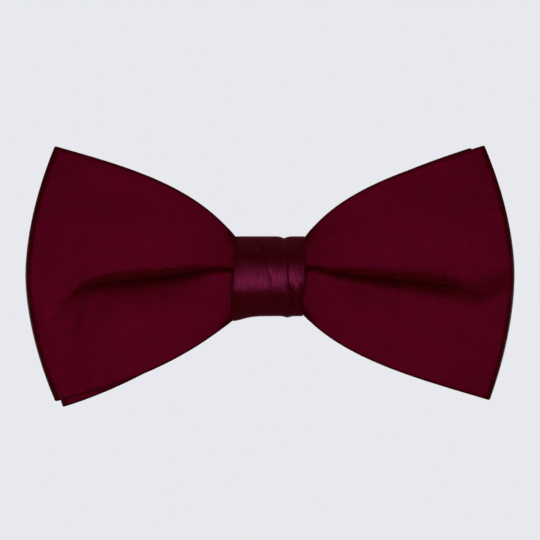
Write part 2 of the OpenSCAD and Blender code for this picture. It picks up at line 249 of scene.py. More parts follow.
REAR_RIGHT = {
    "tip": REAR_TIP,
    "high": (50.1, 31.5), "high_angles": (50, 18), "high_reach": (15, 17),
    "low": (51.6, -29.4), "low_angles": (-43, -17), "low_reach": (15, 16),
    "root_high": (9.0, 9.0), "root_low": (8.6, -9.2),
    "crease": [(0, 0.08), (0.5, 0.02), (1, 0)],
    "depth": [(0, 0.9), (0.15, 0.7), (0.6, 0.4), (1, 0)],
    "above": [(0, 0.7), (0.5, 1.5), (1, 2)],
    "below": [(0, 0.9), (0.5, 2), (1, 3)],
    "sharp": [(0, 1.2), (1, 1.8)],
    "broad": 0.2, "tail": 0.0,
}

REAR_LEFT = {
    "tip": REAR_TIP,
    "high": (51.6, 30.0), "high_angles": (46, 16), "high_reach": (16, 17),
    "low": (51.6, -32.7), "low_angles": (-40, -17), "low_reach": (16, 15),
    "root_high": (8.9, 9.0), "root_low": (9.2, -9.8),
    "crease": [(0, 0.08), (0.5, -0.02), (1, -0.05)],
    "depth": [(0, 0.9), (0.15, 0.7), (0.6, 0.45), (1, 0)],
    "above": [(0, 0.7), (0.5, 1.5), (1, 2)],
    "below": [(0, 0.9), (0.5, 2), (1, 3)],
    "sharp": [(0, 1.2), (1, 1.8)],
    "broad": 0.2, "tail": 0.0,
}

# Columns across a ply, rows along a wing, round its fold and inside the knot, and how much closer
# the rows stand at the knot and the columns at the crease
COLUMNS = 121
WING_ROWS = 96
FOLD_ROWS = 12
ROOT_ROWS = 9
ROW_CLUSTER = 1.15
CREASE_CLUSTER = 1.5

# Roundness of the outer edge
OUTER_EDGE_POWER = 1.8

# Reach of the broad hollow below and above the crease
BROAD_BELOW = 8
BROAD_ABOVE = 1.2

# Where the crease dies out: the value of w, and the start, half height and fading of the step there
TAIL_W = 0.78
TAIL_START = 2.5
TAIL_HALF_H = 3.4
TAIL_FADE = 14

# How far a ply's edges bend inwards over a short and a longer stretch beside the knot, and how much
# more the outer plies' edges bend just outside the knot band and inside it
EDGE_BEND_POWER = 8
CLOSE_BEND = 0.5
NEAR_BEND = 0.15
ROOT_BEND = 0.6
KNOT_BEND = {"front": 2.0, "rear": 0.2}

# Height of the faint unevenness of the cloth
RIPPLE = 0.07

# How far the gathered waist swells towards the knot band, the height where that ends, where it
# starts to fade behind the rear bow, and how far it stays above and below the clip bar
FILL = {"front": 1.3, "rear": 0.8}
FILL_HALF_H = 8
FILL_EDGE = 6.8
BAR_CLEAR = 0.3


def middle_outline(wing):
    """The wing's outline drawn in by half a ply, for the middle surface."""
    half = PLY / 2
    inset = dict(wing, tip=wing["tip"] - half)
    inset["high"] = (wing["high"][0] - half, wing["high"][1] - half)
    inset["low"] = (wing["low"][0] - half, wing["low"][1] + half)
    inset["root_high"] = (wing["root_high"][0], wing["root_high"][1] - half)
    inset["root_low"] = (wing["root_low"][0], wing["root_low"][1] + half)
    return inset


def crease_columns(crease_s):
    """Values of s across the strip, one column on the crease and closer together beside it."""
    sigma = np.linspace(-1, 1, COLUMNS)[None, :]
    reach = np.abs(sigma) ** CREASE_CLUSTER
    mix = 0.25 * np.abs(sigma) + 0.75 * reach
    crease_s = np.asarray(crease_s, float)[:, None]
    return np.where(sigma > 0, crease_s + mix * (1 - crease_s), crease_s - mix * (1 + crease_s))


def edge_lines(wing, w):
    """Upper and lower edge points (x, z) of a wing at the values w."""
    lines = []
    for part in ("high", "low"):
        root, corner = np.array(wing["root_" + part]), np.array(wing[part])
        start, end = (math.radians(a) for a in wing[part + "_angles"])
        leave, arrive = wing[part + "_reach"]
        lines.append(bezier(
            root,
            root + leave * np.array([math.cos(start), math.sin(start)]),
            corner - arrive * np.array([math.cos(end), math.sin(end)]),
            corner, w))
    return lines


def outer_edge(wing, s):
    """Points (x, z) of a wing's bulging outer edge at the values s."""
    high, low = wing["high"], wing["low"]
    z = low[1] + (high[1] - low[1]) * (s + 1) / 2
    corner = np.where(z > 0, high[0], low[0])
    height = np.where(z > 0, high[1], -low[1])
    x = wing["tip"] - (wing["tip"] - corner) * (np.abs(z) / height) ** OUTER_EDGE_POWER
    return np.stack([x, z], -1)


def wing_face(wing, w, s):
    """Front view (x, z) of the wing at w[i] and s[i, j]: a surface stretched between its four edges."""
    high, low = edge_lines(wing, w)
    t = ((s + 1) / 2)[..., None]
    rows = w[:, None, None]
    root = (1 - t) * np.array(wing["root_low"]) + t * np.array(wing["root_high"])
    tip = outer_edge(wing, s)
    sides = (1 - t) * low[:, None] + t * high[:, None]
    corners = ((1 - rows) * root
               + rows * ((1 - t) * np.array(wing["low"]) + t * np.array(wing["high"])))
    return (1 - rows) * root + rows * tip + sides - corners


def crease_profile(grid):
    """How far the cloth is pushed in beside the crease, with a long slope above it and a short one below."""
    wing, w = grid.wing, grid.w
    below = (grid.crease_s[:, None] - grid.s) * grid.half_height[:, None]
    depth, reach_up, reach_down, sharp = (
        through(wing[key], w)[:, None] for key in ("depth", "above", "below", "sharp"))
    reach = np.where(below > 0, reach_down, reach_up)
    near = depth * np.exp(-(np.abs(below) / reach) ** sharp)
    fade = (smoothstep(w, 0.1, 0.3) * (1 - smoothstep(w, 0.65, 0.9)))[:, None]
    fall = np.maximum(below, 0) / BROAD_BELOW + (np.maximum(-below, 0) / BROAD_ABOVE) ** 2
    wide = wing["broad"] * fade * np.exp(-fall)
    return near + wide + wing["tail"] * crease_tail(w[:, None], below)


def crease_tail(w, below):
    """The soft slanting step in which the crease dies out, with the lower lobe behind the upper one."""
    outer = np.maximum(w - TAIL_W, 0)
    start = TAIL_START + 28 * outer
    half_h = TAIL_HALF_H + 12 * outer
    step = smoothstep(below, start - half_h, start + half_h)
    along = smoothstep(w, 0.6, TAIL_W) * (1 - smoothstep(w, 0.8, 1.0))
    return along * step * np.exp(-np.maximum(below - start, 0) / TAIL_FADE)


def lobe_shape(s, crease_s):
    """0 on the crease and at the edges, 1 in the middle of each lobe."""
    top = (s - crease_s[:, None]) / (1 - crease_s[:, None])
    low = (crease_s[:, None] - s) / (1 + crease_s[:, None])
    return np.sin(math.pi * np.clip(np.maximum(top, low), 0, 1))


def ripples(x, z, phase):
    """Faint slow unevenness of pressed cloth."""
    return (np.sin(x * 0.21 + z * 0.13 + phase) * np.sin(z * 0.26 - x * 0.07 + 2.1 * phase)
            + 0.5 * np.sin(x * 0.09 - z * 0.34 + 1.7 * phase))


def bow_plies(bow):
    """The front and back ply of a bow's loops.

    Each has its depth at the waist, where it swells and at the fold, how far its lobes stand out,
    and inward, the direction along Y in which its pleats are pushed. The outer ply is creased."""
    if bow == "front":
        front, back = WAIST_FRONT + PLY / 2, WAIST_MIDDLE - PLY / 2
        return (
            {"waist": front, "swell": (front - 1.3, front - 1.1), "fold": back - 3.1,
             "lobe": 0.3, "inward": 1, "creased": True},
            {"waist": back, "swell": (back - 0.2, back - 0.2), "fold": back - 0.15,
             "lobe": 0.0, "inward": -1, "creased": False},
        )
    front, back = WAIST_MIDDLE + PLY / 2, WAIST_BACK - PLY / 2
    return (
        {"waist": front, "swell": (front + 0.5, front + 0.5), "fold": front + 0.5,
         "lobe": 0.0, "inward": 1, "creased": False},
        {"waist": back, "swell": (back - 0.6, back - 0.5), "fold": back - 0.55,
         "lobe": 0.25, "inward": -1, "creased": True},
    )


class WingGrid:
    """Rows and columns of one wing's middle surface: w of each row, s of each point, and its front view."""

    def __init__(self, wing, plies):
        self.wing = middle_outline(wing)
        fold_front, fold_back = plies[0]["fold"], plies[1]["fold"]
        self.fold_r = (fold_back - fold_front) / 2
        self.fold_y = (fold_back + fold_front) / 2
        self.span = self.wing["tip"] - self.wing["root_high"][0]
        self.w_end = 1 - self.fold_r / self.span
        self.w = self.w_end * np.linspace(0, 1, WING_ROWS) ** ROW_CLUSTER
        self.crease_s = through(self.wing["crease"], self.w)
        self.s = crease_columns(self.crease_s)
        self.flat = wing_face(self.wing, self.w, self.s)
        high, low = edge_lines(self.wing, self.w)
        self.half_height = (high[:, 1] - low[:, 1]) / 2


def ply_depths(grid, side, ply):
    """Depth of one ply over a wing.

    Its edges bend inwards near the knot, the outer ply's most, to pass inside the band's round corners."""
    w, s, inward = grid.w, grid.s, ply["inward"]
    depth = bezier(ply["waist"], ply["swell"][0], ply["swell"][1], ply["fold"], w / grid.w_end)
    y = depth[:, None] * np.ones_like(s)
    bulge = ply["lobe"] * smoothstep(w, 0, 0.25) * (1 - smoothstep(w, 0.5, 0.98))
    y -= inward * bulge[:, None] * lobe_shape(s, grid.crease_s)
    bend = CLOSE_BEND * (1 - smoothstep(w, 0, 0.12)) + NEAR_BEND * (1 - smoothstep(w, 0, 0.3))
    if ply["creased"]:
        bend = bend + ROOT_BEND * (1 - smoothstep(w, 0, 0.06))
    y += inward * bend[:, None] * np.abs(s) ** EDGE_BEND_POWER
    if ply["creased"]:
        y += inward * crease_profile(grid)
    fade = smoothstep(w, 0.05, 0.3) * (1 - smoothstep(w, 0.8, 0.97))
    x, z = side * grid.flat[..., 0], grid.flat[..., 1]
    y += RIPPLE * fade[:, None] * ripples(x, z, ply["waist"])
    return y


def fold_rows(grid, side, y_front, y_back):
    """Rows round the fold at the outer edge, from the front ply to the back one."""
    rows = []
    for a in np.radians(np.linspace(-90, 90, FOLD_ROWS + 2)[1:-1]):
        w_fold = np.full(1, grid.w_end + math.cos(a) * grid.fold_r / grid.span)
        row = wing_face(grid.wing, w_fold, grid.s[-1:])[0]
        mix = (math.sin(a) + 1) / 2
        y = (1 - mix) * y_front[-1] + mix * y_back[-1]
        y = grid.fold_y + grid.fold_r * math.sin(a) + (y - (grid.fold_y + (2 * mix - 1) * grid.fold_r))
        rows.append(np.stack([side * row[:, 0], y, row[:, 1]], -1))
    return np.array(rows)


def knot_fill(bow, along, z):
    """How far the gathered waist swells towards the knot band, between the thread and the wing.

    Behind the rear bow it swells only above and below the clip bar."""
    swell = FILL[bow] * np.sin(math.pi * along) ** 2
    if bow == "front":
        return swell * np.cos(np.clip(z / FILL_HALF_H, -1, 1) * math.pi / 2)
    height = np.abs(z)
    past_bar = smoothstep(height, BAR_TOP + BAR_CLEAR, BAR_TOP + BAR_CLEAR + 1)
    return swell * past_bar * (1 - smoothstep(height, FILL_EDGE, FILL_HALF_H))


def waist_rows(grid, bow, side, ply, y_root, common_crease):
    """Rows of one ply inside the knot, where the strip narrows to the waist."""
    root_low, root_high = grid.wing["root_low"], grid.wing["root_high"]
    waist_low, waist_high = WAIST_LOW + PLY / 2, WAIST_HIGH - PLY / 2
    along = np.linspace(0, 1, ROOT_ROWS, endpoint=False)
    row_s = crease_columns(common_crease + (grid.crease_s[0] - common_crease) * along)
    rows = []
    for k, s in zip(along, row_s):
        up = (s + 1) / 2
        widen = smoothstep(k, 0.88, 1.0)
        low_z = waist_low + (root_low[1] - waist_low) * widen
        high_z = waist_high + (root_high[1] - waist_high) * widen
        x = k * ((1 - up) * root_low[0] + up * root_high[0])
        z = low_z + (high_z - low_z) * up
        y = y_root
        if ply["creased"]:
            bend = KNOT_BEND[bow] * (1 - widen)
            y = y + ply["inward"] * (bend * np.abs(s) ** EDGE_BEND_POWER - knot_fill(bow, k, z))
        rows.append(np.stack([side * x, y, z], -1))
    return np.array(rows)


def half_bow(wing, bow, side, common_crease):
    """Middle surface of one half of a bow, from the middle of its front round the tip to its back."""
    plies = bow_plies(bow)
    grid = WingGrid(wing, plies)
    depths = [ply_depths(grid, side, ply) for ply in plies]
    front, back = (np.stack([side * grid.flat[..., 0], y, grid.flat[..., 1]], -1) for y in depths)
    inner_front, inner_back = (
        waist_rows(grid, bow, side, ply, y[0], common_crease) for ply, y in zip(plies, depths))
    fold = fold_rows(grid, side, *depths)
    return np.concatenate([inner_front, front, fold, back[::-1], inner_back[::-1]])


def bow_surface(bow, right, left):
    """Middle surface of a whole bow, closed along its length."""
    common = (right["crease"][0][1] + left["crease"][0][1]) / 2
    a = half_bow(right, bow, 1, common)
    b = half_bow(left, bow, -1, common)
    a[0] = b[0] = (a[0] + b[0]) / 2
    a[-1] = b[-1] = (a[-1] + b[-1]) / 2
    return np.concatenate([a, b[-2:0:-1]])


def make_bow(bow, right, left):
    """Satin and interlining of a bow."""
    mid = bow_surface(bow, right, left)
    inset = PLY_HEM_COLUMNS + 1
    cover = cloth_tube(bow + "_bow_satin", mid, PLY, PLY_HEM_COLUMNS, PLY_CAVITY)
    inside = cloth_tube(bow + "_bow_lining", mid[:, inset:-inset], PLY_LINING)
    return cover, inside


# ---- the knot

# The band's cloth, and the rings round it and columns across it
KNOT_SATIN = 0.9
KNOT_CAVITY = 0.44
KNOT_LINING = 0.4
KNOT_HEM_COLUMNS = 6
KNOT_LINING_INSET = 8
KNOT_RINGS = 300
KNOT_COLUMNS = 171

# The side view: the corners before they are smoothed, and the swell of the front
KNOT_FRONT_R = 5.0
KNOT_BACK_R = 2.4
KNOT_SMOOTHING = 120
KNOT_CROWN = 1.7
KNOT_CROWN_REACH = 8.8
KNOT_CROWN_Z = -0.3

# (z, distance) that each side edge stands past the CAD band's side
KNOT_LEFT = [(-9.5, 0.85), (0, 0.3), (9.4, -0.05)]
KNOT_RIGHT = [(-9.5, -0.5), (0, -0.15), (9.4, 0.05)]

# The two folds, from the bottom up: (z, x) of each, and (z, width) of its step
LEFT_FOLD = [(-2, 0.2), (0.25, -0.25), (5.2, -1.5), (7.4, -2.7), (9.6, -4.4)]
RIGHT_FOLD = [(-9.6, 6.6), (-8.4, 6.3), (-4.9, 5.2), (-1.2, 4.25), (4.2, 4.05), (9.6, 3.4)]
LEFT_STEP_W = [(0, 1.4), (5, 0.5), (9.6, 0.5)]
RIGHT_STEP_W = [(-9, 0.7), (-3, 0.6), (1, 0.35), (9.6, 0.45)]
STEP = 0.45
FOLD_GAP = 0.55

# The side edges: how far the front rolls back there, and the right one turns in at its lower half
SIDE_ROLL = 0.5
EDGE_TURN = 0.6

# Distances from the band's back to where the front's relief and the folds begin and are complete
FRONT_FROM = 7.5
FRONT_FULL = 11.5
FOLDS_FROM = 6
FOLDS_FULL = 13

# The sewn seam across the back
SEAM_Z = -5.5
SEAM_DEPTH = 0.3
SEAM_HALF_W = 1.1


def rounded_loop(low, high, front_r, back_r, count):
    """count evenly spaced points (y, z) round a side view with two front and two back corners."""
    corners = [
        ((low[0] + front_r, low[1] + front_r), front_r, 180),
        ((high[0] - back_r, low[1] + back_r), back_r, 270),
        ((high[0] - back_r, high[1] - back_r), back_r, 0),
        ((low[0] + front_r, high[1] - front_r), front_r, 90),
    ]
    dense = []
    for centre, r, start in corners:
        a = np.radians(np.linspace(start, start + 90, 40))
        dense.append(np.array(centre) + r * np.stack([np.cos(a), np.sin(a)], -1))
    dense = np.concatenate(dense + [dense[0][:1]])
    length = np.concatenate([[0], np.cumsum(np.linalg.norm(np.diff(dense, axis=0), axis=1))])
    at = np.linspace(0, length[-1], count, endpoint=False)
    return np.stack([np.interp(at, length, dense[:, i]) for i in (0, 1)], -1)


def smooth_loop(points, passes):
    """A closed line, evened out by its neighbours that many times."""
    for _ in range(passes):
        points = (np.roll(points, 1, 0) + 2 * points + np.roll(points, -1, 0)) / 4
    return points


def bell(x, middle, half_w):
    """1 at the middle and falling off smoothly to both sides."""
    return np.exp(-((x - middle) / half_w) ** 2)


def knot_loop():
    """Side view (y, z) of the band's middle surface, and its outward directions."""
    half = KNOT_SATIN / 2
    low, high = KNOT_LOW[1:] + half, KNOT_HIGH[1:] - half
    loop = smooth_loop(rounded_loop(low, high, KNOT_FRONT_R, KNOT_BACK_R, KNOT_RINGS), KNOT_SMOOTHING)
    along = np.roll(loop, -1, 0) - np.roll(loop, 1, 0)
    return loop, unit(np.stack([along[:, 1], -along[:, 0]], -1))


def folded_panel(x, z):
    """Lift of the panel between the two folds, which lies over both sides, and the grooves beside it."""
    left, right = through(LEFT_FOLD, z), through(RIGHT_FOLD, z)
    in_left = smoothstep((x - left) / through(LEFT_STEP_W, z), -0.5, 0.5)
    in_right = smoothstep((right - x) / through(RIGHT_STEP_W, z), -0.5, 0.5)
    left_rise = 1 - smoothstep(z, -8, 3)
    level = in_right * (in_left + (1 - in_left) * left_rise)
    left_gap = bell(x, left, 0.6) * smoothstep(z, 2, 5)
    right_gap = bell(x, right - 0.1, 0.75) * (1 - smoothstep(z, -5, -1.5))
    return STEP * (level - 0.6), -FOLD_GAP * (left_gap + right_gap)


def front_swell(x, z, v):
    """Relief of the band's front: its crown, rolled side edges, slack cloth and turned-in edge."""
    crown_z = KNOT_CROWN_Z - 0.4 * smoothstep(x, -1, 1.5)
    crown = KNOT_CROWN * np.cos(np.clip((z - crown_z) / KNOT_CROWN_REACH, -1, 1) * math.pi / 2)
    roll = -SIDE_ROLL * np.abs(v) ** 6
    slack = 0.03 * (np.sin(1.3 * x + 0.22 * z) + 0.6 * np.sin(2.9 * x - 0.1 * z + 1))
    turned_in = (1 - smoothstep(z, -6.5, -1)) * smoothstep(z, -9.5, -7.5)
    turned_edge = -EDGE_TURN * smoothstep(v, 0.84, 1) * turned_in
    return crown + roll + slack + turned_edge


def rim_shape(x, z):
    """The top rim is nipped in at the right fold, and the bottom rim hangs lowest at its left end."""
    top = smoothstep(z, 5.5, 9) * (0.2 - 0.45 * bell(x, 3.5, 0.9))
    bottom = smoothstep(-z, 6, 9.5) * (0.25 + 1.2 * bell(x, -9.5, 3.8) + 0.3 * bell(x, 4.3, 0.9))
    return top + bottom


def seam_groove(y, z):
    """Depth of the groove where the band's ends meet on its back."""
    back = smoothstep(y, -1.6, -0.8)
    return SEAM_DEPTH * back * np.exp(-((z - SEAM_Z) / SEAM_HALF_W) ** 4)


def knot_surface():
    """Middle surface of the knot band: its side view swept across, then folded and pinched."""
    loop, out = knot_loop()
    y, z = loop[:, :1], loop[:, 1:]
    v = np.linspace(-1, 1, KNOT_COLUMNS)[None, :]
    edge = KNOT_HALF_W - KNOT_SATIN / 2
    left_x = -edge - through(KNOT_LEFT, z)
    right_x = edge + through(KNOT_RIGHT, z)
    x = left_x + (right_x - left_x) * (v + 1) / 2

    front = smoothstep(-y, FRONT_FROM, FRONT_FULL)
    rims = smoothstep(-y, FOLDS_FROM, FOLDS_FULL)
    panel, gaps = folded_panel(x, z)
    push = panel * np.maximum(front, 0.75 * rims) + gaps * np.maximum(front, rims)
    push = push + front * front_swell(x, z, v) + rim_shape(x, z) - seam_groove(y, z)
    return np.stack([x + 0 * z, y + out[:, :1] * push, z + out[:, 1:] * push], -1)


def make_knot():
    """Satin and interlining of the knot band."""
    mid = knot_surface()
    inset = KNOT_LINING_INSET
    cover = cloth_tube("knot_satin", mid, KNOT_SATIN, KNOT_HEM_COLUMNS, KNOT_CAVITY)
    inside = cloth_tube("knot_lining", mid[:, inset:-inset], KNOT_LINING)
    return cover, inside


# ---- threads and wires

# The seam's stitches: number, pitch, slant, half height, arch, depth and thread radius
STITCHES = 9
STITCH_PITCH = 1.75
STITCH_LEAN = 0.75
STITCH_HALF_H = 0.65
STITCH_ARCH = 0.26
STITCH_SINK = 0.12
STITCH_R = 0.13

# A clip's spring: its coil, and the legs' length and the moving leg's rise from the pin
SPRING_R = 1.3
SPRING_WIRE_R = 0.25
SPRING_HALF_L = 1.2
SPRING_TURNS = 4.5
SPRING_LEG = 4.5
SPRING_LEG_RISE = 2.2


def tube(path, radius, sides):
    """Points and faces of a round wire along a path, with flat ends."""
    path = np.asarray(path, float)
    along = unit(np.gradient(path, axis=0))
    side = np.zeros_like(path)
    start = np.array([0, 0, 1.0]) if abs(along[0, 2]) < 0.9 else np.array([1.0, 0, 0])
    side[0] = unit(np.cross(along[0], start))
    for i in range(1, len(path)):
        carried = side[i - 1] - along[i] * (side[i - 1] @ along[i])
        side[i] = unit(carried)
    up = np.cross(along, side)
    turn = 2 * math.pi * np.arange(sides) / sides
    ring = (np.cos(turn)[None, :, None] * side[:, None] + np.sin(turn)[None, :, None] * up[:, None])
    points = (path[:, None] + radius * ring).reshape(-1, 3)
    faces = [
        (i * sides + k, i * sides + (k + 1) % sides, (i + 1) * sides + (k + 1) % sides, (i + 1) * sides + k)
        for i in range(len(path) - 1) for k in range(sides)
    ]
    faces.append(tuple(range(sides - 1, -1, -1)))
    faces.append(tuple((len(path) - 1) * sides + k for k in range(sides)))
    return points, faces


def make_seam_stitches():
    """Whip stitches over the seam on the knot's back."""
    points, faces = [], []
    groove_y = KNOT_HIGH[1] - SEAM_DEPTH
    first_x = -7.2
    t = np.linspace(0, 1, 15)
    for i in range(STITCHES):
        path = np.stack([
            first_x + STITCH_PITCH * i + STITCH_LEAN * t,
            groove_y - STITCH_SINK + STITCH_ARCH * np.sin(math.pi * t),
            SEAM_Z - STITCH_HALF_H + 2 * STITCH_HALF_H * t,
        ], -1)
        stitch_points, stitch_faces = tube(path, STITCH_R, 8)
        first = sum(map(len, points))
        faces += [tuple(k + first for k in face) for face in stitch_faces]
        points.append(stitch_points)
    return build_mesh("knot_seam_stitches", np.concatenate(points), faces)


def make_spring(name, side, fixed_y, hinge):
    """Torsion spring of one clip: leg on the fixed jaw, coil round the pin, leg on the moving jaw."""
    steps = 24 * SPRING_TURNS
    turned = np.arange(steps + 1) / steps
    a = math.radians(-90) - 2 * math.pi * SPRING_TURNS * turned
    coil = np.stack([SPRING_R * np.cos(a), hinge[1] + SPRING_R * np.sin(a),
                     SPRING_HALF_L * (2 * turned - 1)], -1)
    leg_t = np.linspace(1, 0, 8, endpoint=False)[:, None]
    fixed_end = np.array([-SPRING_LEG, fixed_y, -SPRING_HALF_L])
    moving_end = np.array([-SPRING_LEG, hinge[1] + SPRING_LEG_RISE, SPRING_HALF_L])
    fixed_leg = coil[0] + (fixed_end - coil[0]) * leg_t
    moving_leg = coil[-1] + (moving_end - coil[-1]) * leg_t[::-1]
    path = np.concatenate([fixed_leg, coil, moving_leg])
    path[:, 0] = side * (path[:, 0] + abs(hinge[0]))
    points, faces = tube(path, SPRING_WIRE_R, 12)
    if side < 0:
        faces = [face[::-1] for face in faces]
    return build_mesh(name, points, faces)


# ---- materials

class Material:
    """A node material with a principled surface, and short calls for its nodes."""

    def __init__(self, name, **sockets):
        self.material = bpy.data.materials.new(name)
        self.material.use_nodes = True
        self.nodes = self.material.node_tree.nodes
        self.links = self.material.node_tree.links
        self.surface = self.nodes["Principled BSDF"]
        for key, value in sockets.items():
            self.surface.inputs[key.replace("_", " ")].default_value = value

    def node(self, kind, **settings):
        made = self.nodes.new("ShaderNode" + kind)
        for key, value in settings.items():
            if hasattr(made, key):
                setattr(made, key, value)
            else:
                made.inputs[key.replace("_", " ")].default_value = value
        return made

    def link(self, source, target, socket):
        self.links.new(source, target.inputs[socket])

    def coordinates(self, kind, scale):
        """Texture coordinates in units of 1 / scale metres."""
        place = self.node("TexCoord")
        mapping = self.node("Mapping")
        mapping.inputs["Scale"].default_value = scale
        self.link(place.outputs[kind], mapping, "Vector")
        return mapping.outputs["Vector"]

    def noise(self, vector, detail, roughness):
        """Noise of one cell per unit of the vector."""
        noise = self.node("TexNoise", Scale=1.0, Detail=detail, Roughness=roughness)
        self.link(vector, noise, "Vector")
        return noise.outputs["Fac"]

    def ramp(self, value, low, high, to_low=0.0, to_high=1.0):
        """value remapped from low..high to to_low..to_high."""
        node = self.node("MapRange")
        node.inputs["From Min"].default_value = low
        node.inputs["From Max"].default_value = high
        node.inputs["To Min"].default_value = to_low
        node.inputs["To Max"].default_value = to_high
        self.link(value, node, "Value")
        return node.outputs["Result"]

    def math(self, operation, a, b):
        node = self.node("Math", operation=operation)
        for socket, value in ((0, a), (1, b)):
            if isinstance(value, (int, float)):
                node.inputs[socket].default_value = value
            else:
                self.links.new(value, node.inputs[socket])
        return node.outputs[0]

    def mix_colours(self, factor, a, b):
        node = self.node("Mix", data_type="RGBA")
        node.inputs[6].default_value = a
        node.inputs[7].default_value = b
        self.links.new(factor, node.inputs[0])
        return node.outputs[2]

    def bump(self, height, distance):
        """Bump whose height of 1 stands for that distance in metres."""
        node = self.node("Bump", Strength=1.0, Distance=distance)
        self.link(height, node, "Height")
        self.link(node.outputs["Normal"], self.surface, "Normal")

    def give(self, obj):
        obj.data.materials.clear()
        obj.data.materials.append(self.material)


def satin(name, dark, light, shine, streak, speckle, roughness, specular, anisotropic, turn, nap):
    """Burgundy satin: long fine floats along the strip, and a faint mottled sheen.

    streak and speckle are the relief of the floats and the grain, turn the direction of its gloss
    and nap the strength of its sheen."""
    m = Material(name, Roughness=roughness, Specular_IOR_Level=specular,
                 Specular_Tint=shine, Anisotropic=anisotropic, Anisotropic_Rotation=turn,
                 Sheen_Weight=nap, Sheen_Roughness=0.45, Sheen_Tint=(1.0, 0.05, 0.2, 1))
    cloud = m.noise(m.coordinates("UV", (240, 240, 240)), detail=3, roughness=0.6)
    grain = m.noise(m.coordinates("UV", (1700, 2000, 1)), detail=2, roughness=0.75)
    floats = m.noise(m.coordinates("UV", (240, 2600, 1)), detail=3, roughness=0.6)
    tone = m.math("ADD", m.math("MULTIPLY", cloud, 0.3),
                  m.math("ADD", m.math("MULTIPLY", grain, 0.5), m.math("MULTIPLY", floats, 0.2)))
    m.link(m.mix_colours(m.ramp(tone, 0.38, 0.62), dark, light), m.surface, "Base Color")
    m.link(m.ramp(grain, 0.3, 0.7, roughness - 0.09, roughness + 0.11), m.surface, "Roughness")
    height = m.math("ADD", m.math("MULTIPLY", floats, streak), m.math("MULTIPLY", grain, speckle))
    m.bump(height, 0.09 * MM)
    tangent = m.node("Tangent", direction_type="UV_MAP", uv_map="weave")
    m.link(tangent.outputs["Tangent"], m.surface, "Tangent")
    return m


def canvas(name):
    """Woven interlining, a plain weave of thick off-white threads."""
    m = Material(name, Roughness=0.85, Specular_IOR_Level=0.2)
    weave = m.coordinates("UV", (1, 1, 1))
    across = m.node("TexWave", bands_direction="X", Scale=320.0, Distortion=0.6)
    along = m.node("TexWave", bands_direction="Y", Scale=320.0, Distortion=0.6)
    m.link(weave, across, "Vector")
    m.link(weave, along, "Vector")
    threads = m.math("MAXIMUM", across.outputs["Fac"], along.outputs["Fac"])
    m.link(m.mix_colours(threads, (0.42, 0.38, 0.30, 1), (0.74, 0.70, 0.61, 1)), m.surface, "Base Color")
    m.bump(threads, 0.1 * MM)
    return m


def spun_thread(name, dark, light):
    """Twisted sewing thread."""
    m = Material(name, Roughness=0.6, Specular_IOR_Level=0.35)
    twist = m.node("TexWave", bands_direction="DIAGONAL", Scale=1400.0, Distortion=1.5)
    m.link(m.coordinates("Object", (1, 1, 1)), twist, "Vector")
    m.link(m.mix_colours(twist.outputs["Fac"], dark, light), m.surface, "Base Color")
    m.bump(twist.outputs["Fac"], 0.04 * MM)
    return m


def plated_steel(name, colour, roughness, brushed):
    """Nickel plate over pressed steel: fine drawn grain, and faint dull patches from handling."""
    m = Material(name, Metallic=1.0, Roughness=roughness)
    grain = m.noise(m.coordinates("Object", brushed), detail=3, roughness=0.6)
    patch = m.noise(m.coordinates("Object", (160, 160, 160)), detail=2, roughness=0.5)
    dull = tuple(0.9 * c for c in colour[:3]) + (1,)
    m.link(m.mix_colours(m.ramp(patch, 0.35, 0.75), colour, dull), m.surface, "Base Color")
    rough = m.math("ADD", m.ramp(grain, 0.3, 0.7, roughness - 0.05, roughness + 0.05),
                   m.ramp(patch, 0.45, 0.8, 0, 0.08))
    m.link(rough, m.surface, "Roughness")
    m.bump(grain, 0.006 * MM)
    return m


def pale_floor():
    """Evenly bright paper, with a hardly visible cloudiness."""
    m = Material("pale_floor", Roughness=0.9, Specular_IOR_Level=0.0, Emission_Strength=1.0)
    cloud = m.noise(m.coordinates("Object", (2, 2, 2)), detail=3, roughness=0.5)
    paper = m.mix_colours(cloud, (0.03, 0.03, 0.03, 1), (0.04, 0.04, 0.04, 1))
    glow = m.mix_colours(cloud, (0.770, 0.778, 0.818, 1), (0.785, 0.793, 0.833, 1))
    m.link(paper, m.surface, "Base Color")
    m.link(glow, m.surface, "Emission Color")
    return m


# ---- assembly

def finish_piece(obj, material, node):
    """Material, slot and replaced node of a piece made here."""
    material.give(obj)
    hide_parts(node)


def finish_cloth(obj, material, node):
    """The same for a piece that is sewn to the bow's body."""
    finish_piece(obj, material, node)
    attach(obj, "bow")


def dress_node(node, material, bevel=0.0):
    """Material and softened edges for a CAD node that stays."""
    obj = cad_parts[node]
    material.give(obj)
    if bevel:
        soften = obj.modifiers.new("soft_edges", "BEVEL")
        soften.width = bevel * MM
        soften.segments = 2
        soften.limit_method = "ANGLE"
        soften.angle_limit = math.radians(40)


def build_bows(lining, thread):
    """Both bows, the front one over the rear one, and the thread round their waists."""
    cloth = satin(
        "wing_satin", dark=(0.014, 0.0002, 0.0003, 1), light=(0.042, 0.0004, 0.0013, 1),
        shine=(1.0, 0.015, 0.19, 1), streak=0.3, speckle=0.9, roughness=0.40, specular=0.215,
        anisotropic=0.35, turn=0.0, nap=0.01)
    for bow, right, left in (("front", FRONT_RIGHT, FRONT_LEFT), ("rear", REAR_RIGHT, REAR_LEFT)):
        cover, inside = make_bow(bow, right, left)
        finish_cloth(cover, cloth, bow + "_bow")
        finish_cloth(inside, lining, bow + "_bow_interlining")
        dress_node(bow + "_bow_tack", thread)
    dress_node("waist_thread", thread)


